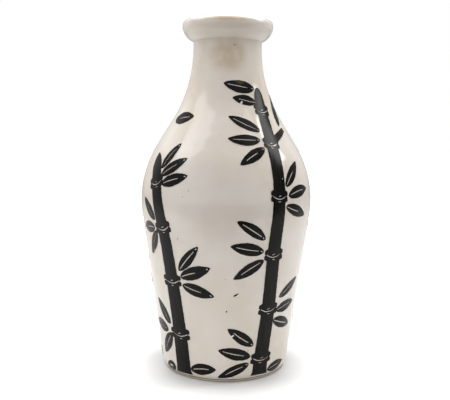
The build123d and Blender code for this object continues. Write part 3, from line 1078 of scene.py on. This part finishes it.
class StemStroke(Stroke):
    """A stalk's stem from its foot to its tip, with a collar at each node."""

    TAPER = 0.3
    COLLAR = 1.42
    COLLAR_REACH = 4.6
    TIP_REACH = 14.0
    FOOT_REACH = 7.0
    FOOT_SPREAD = 0.16
    TIP_POWER = {Tip.ROUND: 0.5, Tip.HORN: 0.85}

    def __init__(self, skin: Skin, foot_angle: float, pattern: Pattern, seed: str) -> None:
        """Run a stem through its nodes.

        Args:
            skin: the coat it lies on.
            foot_angle: angle of its foot from the front, in degrees.
            pattern: the stalk's form.
            seed: name that its unevenness is drawn from.
        """
        self.pattern = pattern
        self.places = [(foot_angle + turn, share * skin.length) for turn, share in pattern.nodes]
        self.marks = [0.0]
        for low, high in zip(self.places, self.places[1:]):
            run = math.radians(high[0] - low[0]) * skin.radius((low[1] + high[1]) / 2)
            self.marks.append(self.marks[-1] + math.hypot(run, high[1] - low[1]))
        super().__init__(skin, self.marks[-1], seed)

    def centre(self, along: float) -> Pair:
        """Return the angle and the length up the outline of the stem's middle."""
        last = len(self.marks) - 2
        at = min(max(bisect_right(self.marks, along) - 1, 0), last)
        share = (along - self.marks[at]) / (self.marks[at + 1] - self.marks[at])
        low, high = self.places[at], self.places[at + 1]
        before = self.places[at - 1] if at else low
        after = self.places[at + 2] if at < last else high
        length = low[1] + (high[1] - low[1]) * share
        start_turn = self.slope(before, high)
        end_turn = self.slope(low, after)
        span = high[1] - low[1]
        bend = share * (1 - share)
        straight = (high[0] - low[0]) / span
        angle = low[0] + (high[0] - low[0]) * share
        angle += bend * span * ((start_turn - straight) * (1 - share) - (end_turn - straight) * share)
        return angle, length

    @staticmethod
    def slope(low: Pair, high: Pair) -> float:
        """Return the turn in degrees for each millimetre up between two places."""
        return (high[0] - low[0]) / (high[1] - low[1])

    def plain_half(self, along: float) -> float:
        """Return half of the bare stem's width."""
        return self.pattern.stem_width * (1 - self.TAPER * self.centre(along)[1] / self.skin.length) / 2

    def half_width(self, along: float) -> float:
        """Return half of the stem's width, collars and tip with it."""
        half = self.plain_half(along)
        swell = 0.0
        for mark in self.marks[1:-1]:
            off = abs(along - mark) - self.COLLAR_REACH / 2
            if abs(off) < self.COLLAR_REACH / 2:
                swell = max(swell, (1 - (2 * off / self.COLLAR_REACH) ** 4) ** 0.5)
        half *= 1 + (self.COLLAR - 1) * swell
        half *= 1 + self.FOOT_SPREAD * max(0.0, 1 - along / self.FOOT_REACH) ** 2
        left = self.length - along
        if left < self.TIP_REACH:
            share = max(left / self.TIP_REACH, 0.0)
            half *= (1 - (1 - share) ** 2) ** self.TIP_POWER[self.pattern.tip]
        return half


@dataclass
class Painter:
    """Lays black slip on the coat and scratches it."""

    skin: Skin
    coat: Object
    slip: Material
    leaf_paint: float = 0.3
    stem_paint: float = 0.34
    fleck_paint: float = 0.12
    sink: float = 0.05
    scratch_width: float = 0.85
    cut_depth: float = 0.8
    cut_height: float = 2.2
    cut_step: float = 0.8
    cut_end: float = 0.35
    cut_ease: float = 0.08
    vein_sway: float = 0.35
    vein_steps: int = 8
    nick_width: float = 1.0
    nick_reach: float = 0.9
    nick_tilt: float = 0.15
    nick_base: float = 0.07
    nick_tip: float = 0.9
    chip_width: float = 1.7
    chip_start: Pair = (-0.4, 0.35)
    chip_end: Pair = (0.7, 1.2)
    leaf_step: float = 0.9
    leaf_rows: int = 8
    fleck_step: float = 0.25
    small_rows: int = 6
    merge_gap: float = 0.004
    crease: float = 50.0

    def sheet(self, columns: int, rows: int, place: Callable[[float, float], Pair],
              stroke: Stroke, lift: float) -> Object:
        """Lay a sheet over a stroke.

        Args:
            columns: faces along it.
            rows: faces across it.
            place: turns shares along and across into millimetres along and aside.
            stroke: the stroke it lies on.
            lift: millimetres off the coat.

        Returns:
            The sheet, whose UV map is its place on the stroke in metres.
        """
        deselect()
        bpy.ops.mesh.primitive_grid_add(x_subdivisions=columns, y_subdivisions=rows, size=1.0)
        made = bpy.context.active_object
        mesh = made.data
        places = [place(point.co.x + 0.5, point.co.y + 0.5) for point in mesh.vertices]
        for corner, mapped in zip(mesh.loops, mesh.uv_layers.active.data):
            mapped.uv = [mm(value) for value in places[corner.vertex_index]]
        for point, (along, aside) in zip(mesh.vertices, places):
            point.co = stroke.spot(along, aside, lift)
        return made

    def brushed(self, stroke: Stroke, spacing: float, rows: int) -> Object:
        """Lay one stroke's sheet of paint on the coat."""
        def place(along: float, across: float) -> Pair:
            """Return a place on the stroke from shares along and across it."""
            reach = along * stroke.length
            left = across > 0.5
            return reach, (2 * across - 1) * stroke.edge(reach, left)
        return self.sheet(max(4, round(stroke.length / spacing)), rows, place, stroke, 0.0)

    def scratch(self, stroke: Stroke, path: Sequence[Pair], width: float) -> Object:
        """Make the blade that cuts a scratch through the paint.

        Args:
            stroke: the stroke that is scratched.
            path: points along and aside, in millimetres.
            width: the scratch's width in its middle, in millimetres.

        Returns:
            The blade, a thick ribbon along the path.
        """
        points = respaced([Vector(point) for point in path], self.cut_step)
        last = len(points) - 1

        def place(along: float, across: float) -> Pair:
            """Return a place on the stroke from shares along and across the scratch."""
            at = round(along * last)
            way = (points[min(at + 1, last)] - points[max(at - 1, 0)]).normalized()
            swell = math.sin(math.pi * (self.cut_ease + (1 - 2 * self.cut_ease) * along)) ** 0.5
            half = width / 2 * (self.cut_end + (1 - self.cut_end) * swell)
            spot = points[at] + Vector((-way.y, way.x)) * (2 * across - 1) * half
            return spot.x, spot.y
        made = self.sheet(last, 2, place, stroke, -self.cut_depth)
        modify(made, "SOLIDIFY", thickness=mm(self.cut_height), offset=1.0)
        return made

    def mark(self, fleck: Fleck) -> LeafStroke:
        """Return the small stroke of a stray mark."""
        length, width = fleck.length / LeafStroke.LENGTH, fleck.width / LeafStroke.WIDTH
        leaf = Leaf(0.0, 0.0, fleck.lean, length, width)
        share = self.skin.length_at(fleck.level) / self.skin.length
        return LeafStroke(self.skin, fleck.angle, share, Side.RIGHT, leaf, f"fleck_{fleck.level}")

    def leaf_blades(self, stroke: LeafStroke) -> list[Object]:
        """Make the blades that scratch one leaf: its vein, its nick and its chipped edge."""
        leaf = stroke.leaf
        start, end = (share * stroke.length for share in leaf.vein)
        sway = self.vein_sway * math.copysign(1.0, leaf.bow or leaf.lean)
        shares = [step / self.vein_steps for step in range(self.vein_steps + 1)]
        vein = [(start + (end - start) * share, sway * math.sin(math.pi * share)) for share in shares]
        blades = [self.scratch(stroke, vein, self.scratch_width * leaf.score)]
        if leaf.nick is not Nick.NONE:
            middle = stroke.length * (self.nick_base if leaf.nick is Nick.BASE else self.nick_tip)
            nick = [(middle - self.nick_reach, self.nick_tilt), (middle + self.nick_reach, -self.nick_tilt)]
            blades.append(self.scratch(stroke, nick, self.nick_width))
        if leaf.chip is not None:
            middle = stroke.length * leaf.chip
            edge = stroke.half_width(middle)
            chip = [(middle + off, edge * share) for off, share in (self.chip_start, self.chip_end)]
            blades.append(self.scratch(stroke, chip, self.chip_width))
        return blades

    def finish(self, name: str, sheets: list[Object], blades: list[Object],
               paint: float, *nodes: str) -> Object:
        """Press sheets of paint onto the coat, scratch them and dress them.

        Args:
            name: the piece's name.
            sheets: its sheets of paint.
            blades: what cuts its scratches.
            paint: the paint's thickness, in millimetres.
            nodes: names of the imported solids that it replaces.

        Returns:
            The painted piece.
        """
        made = joined(name, sheets)
        merge_points(made, self.merge_gap, recalculate=False)
        modify(made, "SHRINKWRAP", target=self.coat, wrap_method="NEAREST_SURFACEPOINT",
               wrap_mode="ABOVE_SURFACE", offset=-mm(self.sink))
        modify(made, "SOLIDIFY", thickness=mm(paint + self.sink), offset=1.0)
        if blades:
            knife = joined(name + "_blades", blades)
            modify(made, "BOOLEAN", object=knife, operation="DIFFERENCE", solver="EXACT")
            bpy.data.objects.remove(knife)
        smooth(made, self.crease)
        dress(made, self.slip, "black_slip", *nodes)
        return made


@dataclass
class Stalk:
    """One painted bamboo stalk: its stem with scratched rings, and its leaves with scratched veins."""

    name: str
    foot_angle: float
    pattern: Pattern
    painter: Painter
    ring_sag: float = 2.6
    ring_drop: float = 0.95
    ring_width: float = 1.12
    ring_steps: int = 6
    dash_length: float = 3.0
    dash_places: tuple[Pair, ...] = ((2.4, -0.7), (-2.0, 0.2))
    dash_shift: float = 0.8
    dash_width: float = 0.9
    hole_size: float = 1.3
    stem_step: float = 0.7
    stem_rows: int = 10

    def stem(self) -> Object:
        """Paint the stem, scratch its rings and return it."""
        painter = self.painter
        stroke = StemStroke(painter.skin, self.foot_angle, self.pattern, self.name)
        sheets = [painter.brushed(stroke, self.stem_step, self.stem_rows)]
        blades = []
        draw = random.Random(self.name + "_rings")
        for mark in stroke.marks[1:-1]:
            half = stroke.plain_half(mark) * self.ring_width
            ring = []
            for step in range(-self.ring_steps, self.ring_steps + 1):
                aside = half * step / self.ring_steps
                ring.append((mark - self.ring_drop - self.ring_sag * (0.5 - (aside / half) ** 2), aside))
            blades.append(painter.scratch(stroke, ring, painter.scratch_width))
            for rise, tilt in self.dash_places:
                middle = mark - self.ring_drop - self.ring_sag / 2 + rise
                shift = draw.uniform(-self.dash_shift, self.dash_shift)
                reach = self.dash_length / 2
                dash = [(middle + tilt / 2, shift + reach), (middle - tilt / 2, shift - reach)]
                blades.append(painter.scratch(stroke, dash, painter.scratch_width * self.dash_width))
        for turn, level in self.pattern.holes:
            hole = Fleck(self.foot_angle + turn, level, 0.0, self.hole_size, self.hole_size)
            path = [(0.0, 0.0), (self.hole_size, 0.0)]
            blades.append(painter.scratch(painter.mark(hole), path, self.hole_size))
        if self.pattern.twig_node is not None:
            turn, share = self.pattern.nodes[self.pattern.twig_node]
            twig = TwigStroke(painter.skin, self.foot_angle + turn, share, Side.RIGHT, TWIG, self.name)
            sheets.append(painter.brushed(twig, painter.leaf_step, painter.small_rows))
        node = self.name + "_culm"
        return painter.finish(self.name + "_stem", sheets, blades, painter.stem_paint, node)

    def leaves(self) -> Object:
        """Paint the leaves, scratch their veins and return them."""
        painter = self.painter
        sheets, blades = [], []
        for spray in self.pattern.sprays:
            turn, share = self.pattern.nodes[spray.node]
            for leaf in spray.leaves:
                seed = f"{self.name}_{spray.node}_{len(sheets)}"
                stroke = LeafStroke(painter.skin, self.foot_angle + turn, share, spray.side, leaf, seed)
                sheets.append(painter.brushed(stroke, painter.leaf_step, painter.leaf_rows))
                blades.extend(painter.leaf_blades(stroke))
        node = self.name + "_leaves"
        return painter.finish(self.name + "_leaf_strokes", sheets, blades, painter.leaf_paint, node)


# Studio


@dataclass(frozen=True)
class Softbox:
    """A flat light panel: the place it hangs at and the one it faces, and its size, in millimetres."""

    name: str
    place: Point
    aim: Point
    width: float
    height: float
    radiance: float

    def hang(self) -> None:
        """Hang the panel, which the camera itself doesn't see."""
        lamp = bpy.data.lights.new(self.name, "AREA")
        lamp.shape = "RECTANGLE"
        lamp.size = mm(self.width)
        lamp.size_y = mm(self.height)
        lamp.energy = self.radiance * math.pi * lamp.size * lamp.size_y
        made = bpy.data.objects.new(self.name, lamp)
        made.location = [mm(value) for value in self.place]
        made.rotation_euler = (Vector(self.place) - Vector(self.aim)).to_track_quat("Z", "Y").to_euler()
        made.visible_camera = False
        bpy.context.scene.collection.objects.link(made)
        LOG.info("%s: %.1f W", self.name, lamp.energy)


@dataclass
class Studio:
    """A light box open at the front: white floor and backdrop, soft panels and the camera."""

    panels: tuple[Softbox, ...] = (
        Softbox("top_left_panel", (-528.0, -130.0, 750.0), (-528.0, -130.0, 0.0), 624.0, 340.0, 2.0),
        Softbox("top_front_panel", (100.0, -130.0, 750.0), (100.0, -130.0, 0.0), 680.0, 340.0, 1.25),
        Softbox("top_back_panel", (0.0, 250.0, 750.0), (0.0, 250.0, 0.0), 880.0, 380.0, 5.3),
        Softbox("left_low_panel", (-450.0, 70.0, 180.0), (0.0, 70.0, 180.0), 760.0, 340.0, 0.22),
        Softbox("left_box", (-776.0, 137.0, 816.0), (0.0, 0.0, 200.0), 1400.0, 500.0, 0.45),
        Softbox("right_box", (762.0, 80.0, 843.0), (0.0, 0.0, 200.0), 300.0, 500.0, 5.8),
    )
    room_light: tuple[tuple[Point, float], ...] = (
        ((0.0, -1.0, 0.0), 0.76),
        ((-1.0, 0.0, 0.0), 0.28),
        ((0.0, 1.0, 0.0), 0.42),
        ((1.0, 0.0, 0.0), 0.2),
    )
    room_span: Pair = (0.1, 0.9)
    floor_size: float = 8000.0
    floor_cells: int = 8
    floor_roughness: float = 0.9
    floor_white: str = "EEEEEE"
    # Painted shade: the floor goes dark out in front, where the light box is open.
    floor_painted_shade: str = "303030"
    front_edge: Pair = (-360.0, -280.0)
    shadow_reach: Pair = (52.0, 92.0)
    shadow_lift: float = 0.33
    white_reach: Pair = (150.0, 280.0)
    camera_distance: float = 600.0
    camera_height: float = 216.6
    camera_pitch: float = 6.72
    camera_roll: float = 0.6
    camera_yaw: float = 0.093
    focal_length: float = 54.9
    sensor_width: float = 36.0
    nearest: float = 10.0

    def floor(self) -> Object:
        """Lay the floor: painted shade out in front, which the vase reflects, shadowed near the vase and
        white to the camera farther off.
        """
        deselect()
        cells = self.floor_cells
        bpy.ops.mesh.primitive_grid_add(x_subdivisions=cells, y_subdivisions=cells, size=mm(self.floor_size))
        made = bpy.context.active_object
        made.name = "studio_floor"
        material, graph = new_material("matt_white_floor")
        place = graph.place()
        back = graph.node("SeparateXYZ", {"Vector": place}).outputs["Y"]
        # Painted shade out in front, for the vase's lower belly to reflect.
        inside = graph.ramp(back, (mm(self.front_edge[0]), mm(self.front_edge[1])))
        near = graph.by_distance(place, self.shadow_reach, (0.0, self.shadow_lift))
        far = graph.by_distance(place, self.white_reach, (0.0, 1.0 - self.shadow_lift))
        white = graph.math("MULTIPLY", graph.math("ADD", near, far), graph.seen())
        graph.surface({
            "Base Color": graph.mix(inside, self.floor_painted_shade, self.floor_white),
            "Roughness": self.floor_roughness, "Specular IOR Level": 0.0,
            "Emission Color": linear(WHITE), "Emission Strength": white})
        made.data.materials.append(material)
        return made

    def light(self) -> None:
        """Hang the panels and let each side of the room give some light, white where the camera looks."""
        for panel in self.panels:
            panel.hang()
        world = bpy.data.worlds.new("white_room")
        world.use_nodes = True
        bpy.context.scene.world = world
        graph = Graph(world.node_tree)
        way = graph.place("Generated")
        total: Socket | float = 0.0
        for side, level in self.room_light:
            facing = graph.node("VectorMath", {0: way, 1: side}, operation="DOT_PRODUCT").outputs["Value"]
            total = graph.math("ADD", graph.ramp(facing, self.room_span, (0.0, level), soft=True), total)
        strength = graph.node("Mix", {"Factor": graph.seen(), "A": total, "B": 1.0}, data_type="FLOAT")
        light = graph.node("Background", {"Color": linear(WHITE), "Strength": strength.outputs["Result"]})
        graph.node("OutputWorld", {"Surface": light.outputs["Background"]})

    def camera(self) -> Object:
        """Set the camera where the photograph was taken from."""
        lens = bpy.data.cameras.new("studio_camera")
        lens.lens = self.focal_length
        lens.sensor_width = self.sensor_width
        lens.clip_start = mm(self.nearest)
        made = bpy.data.objects.new("studio_camera", lens)
        bpy.context.scene.collection.objects.link(made)
        turn = (
            Matrix.Rotation(math.radians(self.camera_yaw), 4, "Z")
            @ Matrix.Rotation(math.radians(90.0 - self.camera_pitch), 4, "X")
            @ Matrix.Rotation(math.radians(self.camera_roll), 4, "Z")
        )
        place = Vector((0.0, -mm(self.camera_distance), mm(self.camera_height)))
        made.matrix_world = Matrix.Translation(place) @ turn
        bpy.context.scene.camera = made
        return made


STALKS = {
    "front_left": (SHORT_STALK, -39.0),
    "front_right": (TALL_STALK, 32.0),
    "back_right": (SHORT_STALK, 115.0),
    "back": (TALL_STALK, 181.0),
    "back_left": (SHORT_STALK, -109.0),
}
SHOULDER_ANGLE = -65.0
SHOULDER_SHARE = 0.756
HIDDEN_CLAY = ("lower_wall", "shoulder_wall", "neck", "lip_roll")


def main() -> None:
    """Build the vase from the foot up, paint it and set up the studio."""
    logging.basicConfig(level=logging.INFO, format="%(message)s")
    bpy.context.scene.view_settings.view_transform = "Standard"
    section = HalfSection()
    body = ThrownBody(section)
    clay = BareClay().material()
    coat = body.coat(CreamGlaze().material())
    body.liner(LinerGlaze().material())
    body.foot(clay)
    for name in HIDDEN_CLAY:
        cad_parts[name].data.materials.clear()
        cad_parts[name].data.materials.append(clay)
    painter = Painter(Skin(section), coat, BlackSlip().material())
    for name, (pattern, angle) in STALKS.items():
        stalk = Stalk(name, angle, pattern, painter)
        stalk.stem()
        stalk.leaves()
    lone = LeafStroke(painter.skin, SHOULDER_ANGLE, SHOULDER_SHARE, Side.RIGHT, SHOULDER_LEAF, "shoulder")
    sheet = painter.brushed(lone, painter.leaf_step, painter.leaf_rows)
    blades = painter.leaf_blades(lone)
    painter.finish("shoulder_leaf_stroke", [sheet], blades, painter.leaf_paint, "shoulder_leaf")
    marks = [painter.mark(fleck) for fleck in FLECKS]
    flecks = [painter.brushed(mark, painter.fleck_step, painter.small_rows) for mark in marks]
    painter.finish("stray_flecks", flecks, [], painter.fleck_paint)
    studio = Studio()
    studio.floor()
    studio.light()
    studio.camera()


if __name__ == "__main__":
    main()
